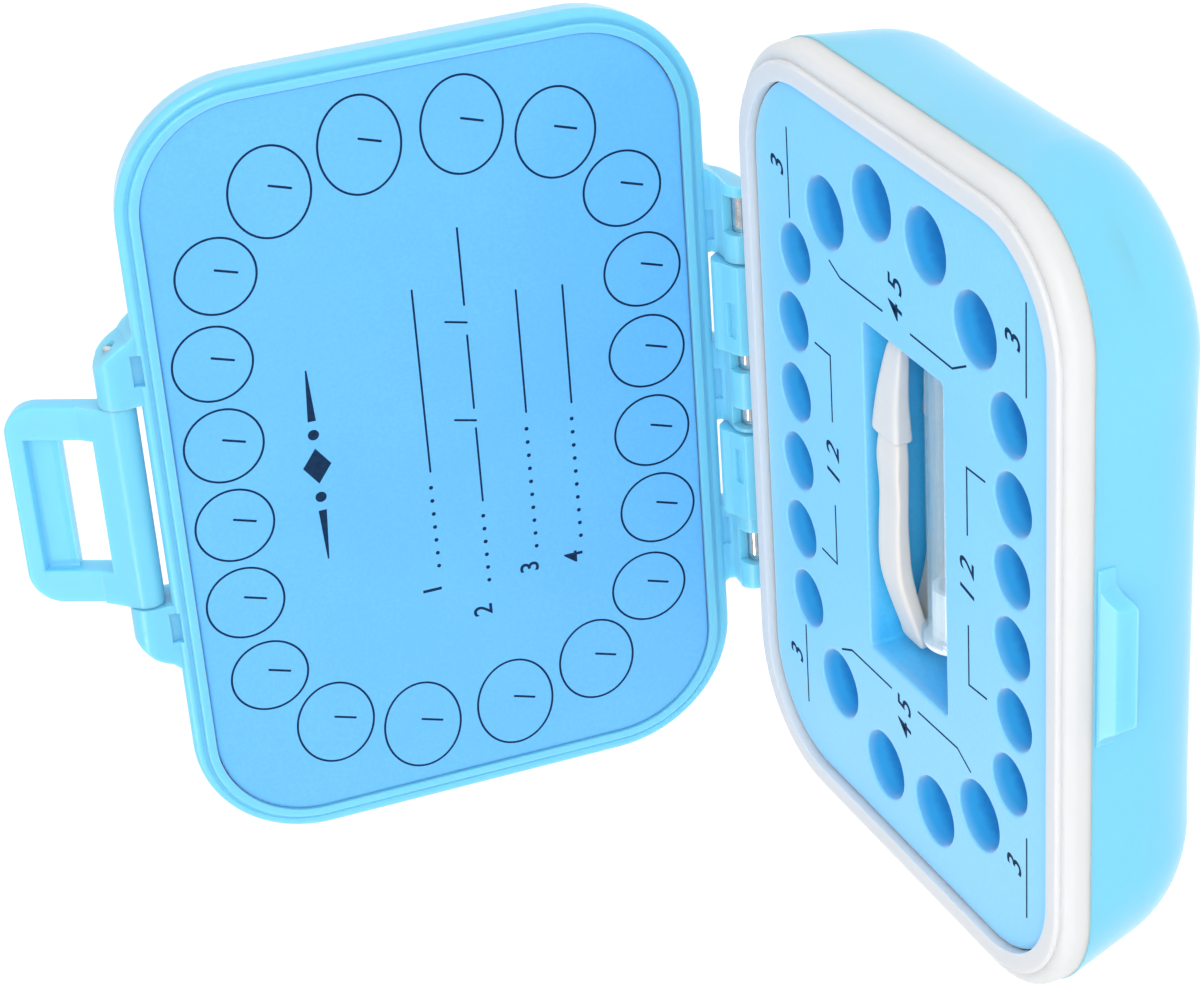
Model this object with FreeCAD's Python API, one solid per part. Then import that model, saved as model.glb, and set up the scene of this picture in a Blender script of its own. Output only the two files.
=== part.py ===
import FreeCAD, Part
import math
import os

os.makedirs("parts", exist_ok=True)
V = FreeCAD.Vector

# ---------------------------------------------------------------- dimensions (mm)
# The box stands on its flat bottom: X runs along the hinge, +Y towards the hinge,
# -Y towards the catch, +Z up, origin at the centre of the bottom face.
OPEN_DEG = 96.0            # lid opening angle in the stored pose

# base shell
BASE_A, BASE_B, BASE_R = 54.5, 38.8, 16.8      # half length, half width, corner radius at the rim
FOOT_A, FOOT_B, FOOT_R = 56.5, 39.7, 34.0      # the same at the bottom, before the large fillet
RIM_Z = 19.3                                   # top of the coloured wall
BASE_FILLET = 13.0
FLOOR_T = 1.8
CAV_A, CAV_B, CAV_R = 51.4, 36.2, 13.0         # inside of the wall
LOW_A, LOW_B, LOW_R, LOW_FILLET = 50.6, 34.9, 22.0, 8.7   # the same at the floor, with rounder corners
BACK_A, BACK_B, BACK_R = 49.0, 33.6, 22.0      # foam block on the floor
NECK_A, NECK_B, NECK_R, NECK_Z = 52.6, 37.2, 14.2, 22.0

# seal ring
SEAL_A, SEAL_B, SEAL_R = 54.3, 38.7, 16.7
SEAL_BAND_Z = 22.8
LIP_A, LIP_B, LIP_R, LIP_Z = 52.4, 37.6, 16.0, 23.5
SEAL_IN_A, SEAL_IN_B, SEAL_IN_R = 49.8, 35.35, 14.0

# foam insert
FOAM_A, FOAM_B, FOAM_R = 49.7, 35.25, 14.0
FOAM_TOP, FOAM_T = 22.3, 10.5
HOLE_R, MOLAR_R = 4.0, 4.75
HOLES = [(4.95, -25.8), (14.9, -26.2), (24.8, -25.2), (5.1, 26.9), (15.4, 26.8), (25.5, 25.6)]
MOLARS = [(33.9, -18.0), (40.0, -7.0), (40.4, 5.6), (34.4, 17.4)]
SLOT_X, SLOT_Y0, SLOT_Y1 = 23.5, -10.6, 8.6

# lid
LID_Z0, LID_RIM, LID_TOP = 23.6, 24.2, 32.0    # inner lip, outer shoulder, outside of the closed lid
LID_A, LID_B, LID_R = 55.6, 38.5, 17.6
LTOP_A, LTOP_B, LTOP_R = 54.2, 37.1, 16.2
LID_SHIFT = (-0.25, 0.2)    # the rolled rim is a little wider on the hinge side
LID_FILLET = 4.5
LLIP_A, LLIP_B, LLIP_R = 53.5, 36.5, 15.0
GROOVE = 0.6               # groove between the rolled rim and the lip
PADC_A, PADC_B, PADC_R, PADC_Z = 52.4, 35.3, 14.0, 29.8
PAD_GAP, PAD_Z = 0.1, 23.95

# main hinge
MID_X = -1.2                # hinge, latch and catch sit a little off the middle of the case
HY, HZ = 42.0, 21.35
PIN_R, BORE_R, KNUCKLE_R = 1.2, 1.25, 2.5
KN_X0, KN_X1 = 6.1, 19.0
PIN_X0, PIN_X1 = 2.2, 28.6

# latch
LY, LZ = -40.75, 27.1                           # latch pivot with the lid closed
LPIN_R, LBORE_R, BARREL_R = 0.8, 0.85, 2.2
FLAP_X, FLAP_END = 14.6, 11.7
FLAP_IN, FLAP_OUT = -40.0, -42.9
WIN_X, WIN_Z0, WIN_Z1 = 9.7, 18.5, 23.4       # window of the flap
FLAP_REST_DEG = 115.0                          # how far the flap is swung away from its closed place
LATCH_PIN_X = 22.7

# tweezers
TW_Y, TW_W = 5.1, 5.4
TW_MID = 16.8
TW_PIVOT_X = -21.5

# vial
VIAL_Y, VIAL_Z = -2.95, 16.3
VIAL_R, VIAL_RI, FLANGE_R = 3.6, 3.08, 4.4
VIAL_X0, VIAL_X1 = -17.4, 22.9


# ---------------------------------------------------------------- helpers
def rrect(a, b, r, z):
    """closed rounded rectangle of half sizes a, b and corner radius r at height z"""
    k = r * math.sqrt(0.5)
    e = []
    pts = [(a, -(b - r)), (a, b - r), (a - r, b), (-(a - r), b), (-a, b - r), (-a, -(b - r)), (-(a - r), -b), (a - r, -b)]
    p = [V(x, y, z) for x, y in pts]
    mids = [V(a - r + k, b - r + k, z), V(-(a - r) - k, b - r + k, z), V(-(a - r) - k, -(b - r) - k, z), V(a - r + k, -(b - r) - k, z)]
    for i in range(4):
        e.append(Part.LineSegment(p[2 * i], p[2 * i + 1]).toShape())
        e.append(Part.Arc(p[2 * i + 1], mids[i], p[(2 * i + 2) % 8]).toShape())
    return Part.Wire(e)


def prism(a, b, r, z0, z1):
    return Part.Face(rrect(a, b, r, z0)).extrude(V(0, 0, z1 - z0))


def loft(lo, hi):
    return Part.makeLoft([rrect(*lo), rrect(*hi)], True, True)


def edges_at(shape, z, tol=1e-3):
    return [e for e in shape.Edges if all(abs(v.Z - z) < tol for v in e.Vertexes) and abs(e.BoundBox.ZMax - z) < tol and abs(e.BoundBox.ZMin - z) < tol]


def box(x0, x1, y0, y1, z0, z1):
    return Part.makeBox(x1 - x0, y1 - y0, z1 - z0, V(x0, y0, z0))


def poly_yz(pts, x0, x1):
    w = Part.makePolygon([V(x0, y, z) for y, z in pts] + [V(x0, pts[0][0], pts[0][1])])
    return Part.Face(w).extrude(V(x1 - x0, 0, 0))


def poly_xz(pts, y0, y1):
    w = Part.makePolygon([V(x, y0, z) for x, z in pts] + [V(pts[0][0], y0, pts[0][1])])
    return Part.Face(w).extrude(V(0, y1 - y0, 0))


def xcyl(r, x0, x1, y, z):
    return Part.makeCylinder(r, x1 - x0, V(x0, y, z), V(1, 0, 0))


def mirror_x(s):
    return s.mirror(V(0, 0, 0), V(1, 0, 0))


def mid(s):
    """from the feature's own middle to its place on the case"""
    s = s.copy()
    s.translate(V(MID_X, 0, 0))
    return s


def outline_xz(segs, y0, y1):
    """closed outline in the XZ plane, extruded from y0 to y1"""
    e = []
    for s in segs:
        q = [V(x, y0, z) for x, z in s[1:]]
        e.append(Part.LineSegment(*q).toShape() if s[0] == "l" else Part.Arc(*q).toShape())
    return Part.Face(Part.Wire(e)).extrude(V(0, y1 - y0, 0))


def outline_xy(segs, z0, z1):
    """closed outline in the XY plane from ('l', p, q) and ('a', p, m, q) pieces, extruded from z0 to z1"""
    e = []
    for s in segs:
        q = [V(x, y, z0) for x, y in s[1:]]
        e.append(Part.LineSegment(*q).toShape() if s[0] == "l" else Part.Arc(*q).toShape())
    return Part.Face(Part.Wire(e)).extrude(V(0, 0, z1 - z0))


def one(s):
    s = s.removeSplitter()
    if s.ShapeType != "Solid" and len(s.Solids) == 1:
        s = s.Solids[0]
    return s


def soften(s, r, pick):
    """round the edges that pick(edge) names, all together if possible, else one after the other where the shape stays sound"""
    s = one(s)
    es = [e for e in s.Edges if pick(e)]
    try:
        t = one(s.makeFillet(r, es))
        if t.isValid() and len(t.Solids) == 1 and abs(t.Volume - s.Volume) < 0.25 * s.Volume:
            return t
    except Exception:
        pass
    marks = [e.CenterOfMass for e in es]
    for m in marks:
        near = sorted(s.Edges, key=lambda e: (e.CenterOfMass - m).Length)[0]
        if (near.CenterOfMass - m).Length > 0.6:
            continue
        try:
            t = one(s.makeFillet(r, [near]))
            if t.isValid() and len(t.Solids) == 1 and abs(t.Volume - s.Volume) < 0.25 * s.Volume:
                s = t
        except Exception:
            pass
    return s


def at_y(e, y, tol=1e-3):
    return abs(e.BoundBox.YMin - y) < tol and abs(e.BoundBox.YMax - y) < tol


def at_x(e, x, tol=1e-3):
    return abs(e.BoundBox.XMin - x) < tol and abs(e.BoundBox.XMax - x) < tol


def save(name, s):
    s = one(s)
    print(name, "solids", len(s.Solids), "valid", s.isValid(), "vol %.1f" % s.Volume,
          "box", [round(v, 2) for v in (s.BoundBox.XMin, s.BoundBox.XMax, s.BoundBox.YMin, s.BoundBox.YMax, s.BoundBox.ZMin, s.BoundBox.ZMax)])
    s.exportStep("parts/%s.step" % name)
    return s


def open_lid(s):
    """from the closed place to the stored, opened place"""
    s = s.copy()
    s.rotate(V(0, HY, HZ), V(1, 0, 0), -OPEN_DEG)
    return s


# ---------------------------------------------------------------- base shell
outer = loft((FOOT_A, FOOT_B, FOOT_R, 0.0), (BASE_A, BASE_B, BASE_R, RIM_Z))
outer = outer.makeFillet(BASE_FILLET, edges_at(outer, 0.0))
outer = outer.makeFillet(0.2, edges_at(outer, RIM_Z))
low = loft((LOW_A, LOW_B, LOW_R, FLOOR_T), (51.0, 35.8, 15.5, FOAM_TOP - FOAM_T))
low = low.makeFillet(LOW_FILLET, edges_at(low, FLOOR_T))
cav = prism(CAV_A, CAV_B, CAV_R, FOAM_TOP - FOAM_T, RIM_Z + 1)
shell = outer.cut(low).cut(cav)
neck = prism(NECK_A, NECK_B, NECK_R, RIM_Z - 0.5, NECK_Z).cut(prism(CAV_A, CAV_B, CAV_R, RIM_Z - 1, NECK_Z + 1))
shell = shell.fuse(neck)

# hinge knuckles on the back wall: a gusset with a rounded block around the pin
kn_prof = [(37.0, 11.5), (37.0, 19.3), (39.2, 19.3), (39.2, 22.6), (39.7, 23.5), (40.6, 23.95), (42.2, 24.5), (43.2, 25.1),
           (43.9, 25.2), (44.7, 24.75), (45.5, 23.7), (46.0, 22.2), (46.0, HZ), (45.4, 19.3), (43.0, 16.5), (38.4, 11.5)]
kn = poly_yz(kn_prof, KN_X0, KN_X1)
kn = soften(kn, 0.5, lambda e: e.BoundBox.XLength > 5 and (e.BoundBox.ZMin > 23.0 or (e.BoundBox.YMin > 42.5 and e.BoundBox.ZMin > 16.0)))
kn = kn.cut(xcyl(PIN_R, KN_X0 - 0.2, KN_X1 + 0.2, HY, HZ))
rec = box(8.4, 13.6, 39.9, 41.6, 23.75, 27.0)                 # shallow recess on top of the knuckle
rec = rec.makeFillet(0.25, [e for e in rec.Edges if abs(e.Vertexes[0].Z - e.Vertexes[-1].Z) > 1])
kn = kn.cut(rec)
shell = shell.fuse(mid(kn)).fuse(mid(mirror_x(kn)))

# catch on the front wall: a low bar with a taller bump in its middle, a sloped top and a ledge below
bar = box(-11.2, 12.8, -39.2, -37.4, 16.6, 18.9)
bar = soften(bar, 0.3, lambda e: at_y(e, -39.2))
bump = outline_xz([
    ("l", (-11.0, 18.9), (11.6, 18.9)), ("l", (11.6, 18.9), (11.6, 16.7)), ("a", (11.6, 16.7), (9.9, 16.3), (8.7, 15.6)),
    ("a", (8.7, 15.6), (7.8, 14.95), (6.7, 14.75)), ("l", (6.7, 14.75), (-7.6, 14.75)), ("a", (-7.6, 14.75), (-8.7, 14.95), (-9.4, 15.6)),
    ("a", (-9.4, 15.6), (-10.1, 16.3), (-11.0, 16.7)), ("l", (-11.0, 16.7), (-11.0, 18.9))], -42.0, -37.4)
plan = outline_xy([
    ("l", (-11.1, -37.4), (12.0, -37.4)), ("l", (12.0, -37.4), (12.0, -38.9)), ("a", (12.0, -38.9), (9.5, -39.45), (8.3, -40.4)),
    ("a", (8.3, -40.4), (7.5, -41.05), (6.5, -41.25)), ("l", (6.5, -41.25), (-7.4, -41.25)), ("a", (-7.4, -41.25), (-8.4, -41.05), (-9.1, -40.4)),
    ("a", (-9.1, -40.4), (-9.9, -39.5), (-11.1, -38.9)), ("l", (-11.1, -38.9), (-11.1, -37.4))], 14.0, 20.0)
prof = poly_yz([(-37.0, 18.9), (-38.95, 18.9), (-41.0, 17.3), (-41.0, 14.0), (-37.0, 14.0)], -13.0, 13.0)
prof = soften(prof, 0.8, lambda e: e.BoundBox.XLength > 20 and abs(e.BoundBox.ZMin - 17.3) < 0.01)
prof = soften(prof, 0.45, lambda e: e.BoundBox.XLength > 20 and abs(e.BoundBox.ZMin - 18.9) < 0.01 and e.BoundBox.YMax < -38)
catch = mid(bar.fuse(bump.common(plan).common(prof)))
shell = shell.fuse(catch)
shell = save("base_shell", shell)

# ---------------------------------------------------------------- seal ring
band = prism(SEAL_A, SEAL_B, SEAL_R, RIM_Z, SEAL_BAND_Z)
band = band.makeFillet(1.5, edges_at(band, SEAL_BAND_Z))
lip = prism(LIP_A, LIP_B, LIP_R, SEAL_BAND_Z - 1.5, LIP_Z)
lip = lip.makeFillet(0.4, edges_at(lip, LIP_Z))
seal = band.fuse(lip)
seal = seal.cut(prism(SEAL_IN_A, SEAL_IN_B, SEAL_IN_R, RIM_Z - 1, LIP_Z + 1))
seal = seal.cut(prism(NECK_A, NECK_B, NECK_R, RIM_Z - 1, NECK_Z).cut(prism(CAV_A, CAV_B, CAV_R, RIM_Z - 2, NECK_Z + 1)))
seal = seal.cut(prism(CAV_A, CAV_B, CAV_R, RIM_Z - 1, NECK_Z))      # nothing hangs inside the neck
save("seal_ring", seal)

# ---------------------------------------------------------------- foam insert: cut tray on a plain backing sheet
tray = prism(FOAM_A, FOAM_B, FOAM_R, FOAM_TOP - FOAM_T, FOAM_TOP)
cuts = []
for (x, y), r in [(p, HOLE_R) for p in HOLES] + [(p, MOLAR_R) for p in MOLARS]:
    for sx in (1, -1):
        c = Part.makeCylinder(r, FOAM_T + 2, V(sx * x, y, FOAM_TOP - FOAM_T - 1), V(0, 0, 1))
        cuts.append(c)
slot = box(-SLOT_X, SLOT_X, SLOT_Y0, SLOT_Y1, FOAM_TOP - FOAM_T - 1, FOAM_TOP + 1)
slot = slot.makeFillet(0.6, [e for e in slot.Edges if abs(e.Vertexes[0].Z - e.Vertexes[-1].Z) > 1])
for c in cuts + [slot]:
    tray = tray.cut(c)
tray = tray.makeFillet(0.35, edges_at(tray, FOAM_TOP))
save("foam_tray", tray)
back = prism(BACK_A, BACK_B, BACK_R, FLOOR_T, FOAM_TOP)
back = back.makeFillet(LOW_FILLET, edges_at(back, FLOOR_T))
back = back.cut(box(-60, 60, -60, 60, FOAM_TOP - FOAM_T, FOAM_TOP + 1))
save("foam_backing", back)

# ---------------------------------------------------------------- hinge pins, fixed in the base knuckles
pin = xcyl(PIN_R, PIN_X0, PIN_X1, HY, HZ)
pin = pin.makeFillet(0.15, [e for e in pin.Edges if len(e.Vertexes) == 1])
save("hinge_pin_right", mid(pin))
save("hinge_pin_left", mid(mirror_x(pin)))

# ---------------------------------------------------------------- lid shell, built closed and then opened
lid = loft((LID_A, LID_B, LID_R, LID_RIM), (LTOP_A, LTOP_B, LTOP_R, LID_TOP))
lid = lid.makeFillet(LID_FILLET, edges_at(lid, LID_TOP))
lid = lid.makeFillet(1.0, edges_at(lid, LID_RIM))
lid.translate(V(LID_SHIFT[0], LID_SHIFT[1], 0))
llip = prism(LLIP_A, LLIP_B, LLIP_R, LID_Z0, LID_RIM + 0.8)
llip = llip.makeFillet(0.25, edges_at(llip, LID_Z0))
lid = lid.fuse(llip)
groove = prism(LLIP_A + GROOVE, LLIP_B + GROOVE, LLIP_R + GROOVE, LID_RIM - 0.5, LID_RIM + 0.14)
lid = lid.cut(groove.cut(prism(LLIP_A, LLIP_B, LLIP_R, LID_RIM - 1, LID_RIM + 1)))
padc = prism(PADC_A, PADC_B, PADC_R, LID_Z0 - 1, PADC_Z)
padc = padc.makeFillet(2.0, edges_at(padc, PADC_Z))
lid = lid.cut(padc)

# hinge lugs: two at the ends, one in the middle, each a hooked block around the pin line
lug_prof = [(40.0, HZ - 0.9), (39.6, 20.9), (39.5, 23.6), (38.9, 24.45), (36.8, 24.6), (36.8, 28.6), (38.4, 28.6), (41.6, 26.4), (43.8, 23.8), (44.5, HZ), (42.0, HZ - 1.0)]


def hinge_lug(x0, x1):
    return poly_yz(lug_prof, x0, x1).fuse(xcyl(KNUCKLE_R, x0, x1, HY, HZ))


LUG_X0 = KN_X1 + 0.3
end_lug = hinge_lug(LUG_X0, 33.0)
end_plan = outline_xy([
    ("l", (18.0, 36.0), (33.0, 36.0)), ("a", (33.0, 36.0), (31.6, 38.0), (30.4, 39.9)),
    ("a", (30.4, 39.9), (29.5, 42.8), (27.6, 44.9)), ("l", (27.6, 44.9), (18.0, 44.9)), ("l", (18.0, 44.9), (18.0, 36.0))], 15.0, 34.0)
end_lug = end_lug.common(end_plan)
end_lug = soften(end_lug, 0.5, lambda e: e.BoundBox.XMin > 25.0 and e.BoundBox.YMin > 38.7 and e.Length > 0.8)
end_lug = end_lug.cut(xcyl(BORE_R, 17.0, 28.8, HY, HZ))
end_lug = end_lug.cut(box(21.0, 25.4, 37.6, 39.2, 24.0, 24.75))  # shallow recess at the root
mid_lug = hinge_lug(-5.8, 5.8)
mid_lug = mid_lug.cut(xcyl(BORE_R, 2.0, 7.0, HY, HZ)).cut(xcyl(BORE_R, -7.0, -2.0, HY, HZ))
mid_lug = mid_lug.cut(box(-2.6, 2.0, 37.6, 39.2, 24.0, 24.75))

# latch lugs on the front edge, rounded at their outer ends
ll_prof = [(-36.8, 24.7), (LY, LZ - 2.5), (LY - 2.5, LZ), (LY - 1.5, 29.2), (-38.2, 30.4), (-36.8, 30.4)]
ll = poly_yz(ll_prof, FLAP_X + 0.25, 27.0).fuse(xcyl(2.5, FLAP_X + 0.25, 27.0, LY, LZ))
ll_plan = outline_xy([
    ("l", (14.0, -36.0), (26.0, -36.0)), ("a", (26.0, -36.0), (25.0, -37.7), (23.9, -38.9)),
    ("a", (23.9, -38.9), (22.1, -41.8), (18.6, -43.7)), ("l", (18.6, -43.7), (14.0, -43.7)), ("l", (14.0, -43.7), (14.0, -36.0))], 20.0, 34.0)
ll = ll.common(ll_plan)
ll = soften(ll, 0.4, lambda e: e.BoundBox.XMax > 18.0 and e.BoundBox.YMax < -38.7 and e.Length > 0.8 and not at_x(e, FLAP_X + 0.25))
ll = ll.cut(xcyl(LPIN_R, 14.0, 30.0, LY, LZ))
for s in (end_lug, mirror_x(end_lug), mid_lug, ll, mirror_x(ll)):
    lid = lid.fuse(mid(s))
for x0, x1 in ((17.6, 22.0), (-20.5, -16.0)):                      # shallow core-outs where the latch lugs meet the rim
    lid = lid.cut(mid(box(x0, x1, -38.8, -37.4, 23.0, 25.3)))
lid = open_lid(one(lid))

# in the opened place: the front of the pin line is cut open, and a heel stops the lid at the back wall
for x0, x1 in ((23.3, 28.8), (3.1, 6.0), (-5.3, -2.3), (-26.5, -21.4)):
    lid = lid.cut(mid(box(x0, x1, 38.0, HY + 0.5, HZ, HZ + 5.0)))
for x0, x1 in ((LUG_X0, 21.6), (-21.6, -LUG_X0)):
    heel = poly_yz([(40.0, HZ - 1.4), (39.05, 18.7), (39.05, 17.7), (40.6, 17.7), (42.6, HZ - 2.2)], x0, x1)
    lid = lid.fuse(mid(heel.cut(xcyl(BORE_R, x0 - 1, x1 + 1, HY, HZ))))
lid = save("lid_shell", lid)

pad = prism(PADC_A - PAD_GAP, PADC_B - PAD_GAP, PADC_R - PAD_GAP, PAD_Z, PADC_Z)
pad = pad.makeFillet(2.1, edges_at(pad, PADC_Z))
pad = pad.makeFillet(0.3, edges_at(pad, PAD_Z))
save("record_pad", open_lid(pad))

# ---------------------------------------------------------------- latch flap and its pin
lpin = xcyl(LPIN_R, -LATCH_PIN_X, LATCH_PIN_X, LY, LZ)
lpin = lpin.makeFillet(0.15, [e for e in lpin.Edges if len(e.Vertexes) == 1])
save("latch_pin", open_lid(mid(lpin)))

# seen from the side: a plate whose inner face runs up to the barrel, with a thicker grip at its free end
flap = poly_yz([(FLAP_OUT, FLAP_END), (FLAP_IN, FLAP_END), (FLAP_IN, 21.6), (-39.3, 24.0), (LY + BARREL_R - 0.05, 26.4), (LY + BARREL_R - 0.05, LZ), (LY - BARREL_R + 0.05, LZ), (FLAP_OUT, 24.6)], -FLAP_X, FLAP_X)
corner = [e for e in flap.Edges if abs(e.Vertexes[0].X - e.Vertexes[-1].X) < 1e-6 and abs(e.Vertexes[0].Z - FLAP_END) < 1e-6 and abs(e.Vertexes[-1].Z - FLAP_END) < 1e-6]
flap = flap.makeFillet(4.4, corner)
flap = soften(flap, 0.9, lambda e: at_y(e, FLAP_OUT) and e.BoundBox.ZMin < 24.0)
flap = soften(flap, 0.6, lambda e: at_y(e, FLAP_IN) and e.BoundBox.ZMin < 22.0)
flap = flap.fuse(xcyl(BARREL_R, -FLAP_X, FLAP_X, LY, LZ))
flap = one(flap)
win = box(-WIN_X, WIN_X, -46.0, -36.0, WIN_Z0, WIN_Z1)
flap = flap.cut(win)
# the hollow that takes the catch: a soft trough between the grip and the window
pocket = poly_yz([(-36.0, 13.3), (FLAP_IN + 0.6, 13.85), (-41.3, 14.5), (-41.35, 17.4), (-41.55, WIN_Z0 + 0.3), (-36.0, WIN_Z0 + 0.3)], -WIN_X, WIN_X)
pocket = soften(pocket, 0.6, lambda e: e.BoundBox.YMax < -41.2)
flap = flap.cut(pocket)
flap = soften(flap, 0.3, lambda e: at_y(e, FLAP_IN) and abs(e.BoundBox.XMax) < 11.5 and abs(e.BoundBox.XMin) < 11.5 and e.BoundBox.ZMax < 23.5)
flap = flap.cut(xcyl(LBORE_R, -20, 20, LY, LZ))
flap = one(flap)
flap_closed = flap.copy()
flap.rotate(V(0, LY, LZ), V(1, 0, 0), -FLAP_REST_DEG)
save("latch_flap", open_lid(mid(flap)))

# ---------------------------------------------------------------- tweezers: two springy arms with soft tip sleeves
arm_top = [(-22.6, 18.2), (-20.6, 18.6), (-17.2, 19.7), (-12.6, 21.05), (-9.5, 21.4), (-3.0, 21.5), (3.0, 21.3), (8.0, 21.1), (14.5, 20.7), (21.2, 19.3)]
arm_bot = [(21.2, 18.6), (14.5, 19.7), (8.0, 19.75), (3.0, 19.75), (-3.0, 19.85), (-9.0, 19.75), (-12.2, 19.3), (-16.4, 18.2), (-20.3, 17.05), (TW_PIVOT_X, 16.83), (-22.6, 16.83)]
H = TW_W / 2
arm = poly_xz(arm_top + arm_bot, TW_Y - H, TW_Y + H)
arm = arm.common(outline_xy([
    ("l", (-23.0, TW_Y - H), (5.0, TW_Y - H)), ("l", (5.0, TW_Y - H), (21.4, TW_Y - 0.8)), ("l", (21.4, TW_Y - 0.8), (21.4, TW_Y + 0.8)),
    ("l", (21.4, TW_Y + 0.8), (5.0, TW_Y + H)), ("l", (5.0, TW_Y + H), (-23.0, TW_Y + H)), ("l", (-23.0, TW_Y + H), (-23.0, TW_Y - H))], 10, 25))
sleeve = poly_xz([(8.4, 21.75), (14.5, 21.25), (20.4, 20.1), (22.2, 19.5), (22.3, 18.35), (14.5, 19.2), (8.4, 19.2)], TW_Y - 4, TW_Y + 4)
sleeve = sleeve.common(outline_xy([
    ("l", (8.0, TW_Y - 3.2), (9.6, TW_Y - 3.15)), ("l", (9.6, TW_Y - 3.15), (20.6, TW_Y - 1.7)), ("a", (20.6, TW_Y - 1.7), (22.2, TW_Y), (20.6, TW_Y + 1.7)),
    ("l", (20.6, TW_Y + 1.7), (9.6, TW_Y + 3.15)), ("l", (9.6, TW_Y + 3.15), (8.0, TW_Y + 3.2)), ("l", (8.0, TW_Y + 3.2), (8.0, TW_Y - 3.2))], 10, 25))
sleeve = soften(sleeve, 0.55, lambda e: e.BoundBox.ZMin > 19.3 and e.BoundBox.XMin > 8.3 and not at_x(e, 8.4) and (e.BoundBox.YMax < TW_Y - 0.5 or e.BoundBox.YMin > TW_Y + 0.5 or e.BoundBox.XMin > 20.0))
sleeve = sleeve.cut(arm)
arm = soften(arm, 0.3, lambda e: e.BoundBox.ZMin > 17.5 and (at_y(e, TW_Y - H) or at_y(e, TW_Y + H)) and e.BoundBox.XMax < 6.0)
save("tweezer_arm_upper", arm)
save("tip_sleeve_upper", sleeve)
save("tweezer_arm_lower", arm.mirror(V(0, 0, TW_MID), V(0, 0, 1)))
save("tip_sleeve_lower", sleeve.mirror(V(0, 0, TW_MID), V(0, 0, 1)))

# ---------------------------------------------------------------- vial: clear tube with a rim, and its stopper
tube = xcyl(VIAL_R, VIAL_X0, VIAL_X1 - VIAL_R, VIAL_Y, VIAL_Z).fuse(Part.makeSphere(VIAL_R, V(VIAL_X1 - VIAL_R, VIAL_Y, VIAL_Z)))
tube = tube.fuse(xcyl(FLANGE_R, VIAL_X0, VIAL_X0 + 0.9, VIAL_Y, VIAL_Z))
bore = xcyl(VIAL_RI, VIAL_X0 - 1, VIAL_X1 - VIAL_R, VIAL_Y, VIAL_Z).fuse(Part.makeSphere(VIAL_RI, V(VIAL_X1 - VIAL_R, VIAL_Y, VIAL_Z)))
save("vial_tube", tube.cut(bore))
cap = xcyl(4.1, VIAL_X0 - 0.95, VIAL_X0 - 0.02, VIAL_Y, VIAL_Z)
cap = cap.makeFillet(0.3, [e for e in cap.Edges if len(e.Vertexes) == 1 and abs(e.BoundBox.XMin - (VIAL_X0 - 0.95)) < 1e-3])
cap = cap.fuse(xcyl(VIAL_RI - 0.08, VIAL_X0 - 0.1, VIAL_X0 + 7.2, VIAL_Y, VIAL_Z))
cap = cap.cut(xcyl(2.2, VIAL_X0 + 0.3, VIAL_X0 + 9, VIAL_Y, VIAL_Z))
save("vial_cap", cap)
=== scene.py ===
import bpy
import bmesh
import math
from mathutils import Matrix, Vector
from mathutils.geometry import delaunay_2d_cdt
from mathutils.noise import noise as wobble


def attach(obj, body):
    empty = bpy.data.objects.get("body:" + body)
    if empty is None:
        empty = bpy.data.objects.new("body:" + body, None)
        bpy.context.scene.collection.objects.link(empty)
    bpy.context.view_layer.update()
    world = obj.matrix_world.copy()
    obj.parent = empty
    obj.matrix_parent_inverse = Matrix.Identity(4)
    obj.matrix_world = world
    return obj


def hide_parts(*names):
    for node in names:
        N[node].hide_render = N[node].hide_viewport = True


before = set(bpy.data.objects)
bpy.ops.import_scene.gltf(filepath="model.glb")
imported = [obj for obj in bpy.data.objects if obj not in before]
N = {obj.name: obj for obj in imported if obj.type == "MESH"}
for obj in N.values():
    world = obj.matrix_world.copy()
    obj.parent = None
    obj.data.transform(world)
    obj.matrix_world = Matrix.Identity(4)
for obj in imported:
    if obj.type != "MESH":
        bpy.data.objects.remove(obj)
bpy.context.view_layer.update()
MM = 0.001

# ------------------------------------------------------------------ camera at the photograph's viewing angle
F_PX, W_PX = 3352.14, 1200.0
eye = Vector((0.211924, -0.310572, 0.196153))
look = Vector((-0.50260243, 0.79390249, -0.34221285))
up = Vector((0.86208988, 0.43060797, -0.26716627))
look = (look * F_PX + up * 1.5).normalized()
right = look.cross(up).normalized()
up = right.cross(look).normalized()
cam = bpy.data.cameras.new("camera")
cam.sensor_fit = "HORIZONTAL"
cam.sensor_width = 36.0
cam.lens = F_PX / W_PX * 36.0
cam.clip_start = 0.01
cam.clip_end = 20.0
cam_ob = bpy.data.objects.new("camera", cam)
rot = Matrix((right, up, -look)).transposed().to_4x4()
cam_ob.matrix_world = Matrix.Translation(eye) @ rot
bpy.context.scene.collection.objects.link(cam_ob)
bpy.context.scene.camera = cam_ob
bpy.context.scene.view_settings.view_transform = "Standard"
bpy.context.scene.view_settings.look = "None"


# ------------------------------------------------------------------ materials
def material(name):
    m = bpy.data.materials.new(name)
    m.use_nodes = True
    t = m.node_tree
    t.nodes.clear()
    out = t.nodes.new("ShaderNodeOutputMaterial")
    b = t.nodes.new("ShaderNodeBsdfPrincipled")
    t.links.new(b.outputs[0], out.inputs[0])
    return m, t, b


def noise(t, scale, detail=2.0, rough=0.5, coord=None):
    n = t.nodes.new("ShaderNodeTexNoise")
    n.inputs["Scale"].default_value = scale
    n.inputs["Detail"].default_value = detail
    n.inputs["Roughness"].default_value = rough
    c = t.nodes.new("ShaderNodeTexCoord")
    t.links.new(c.outputs["Object"], n.inputs["Vector"])
    return n


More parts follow.
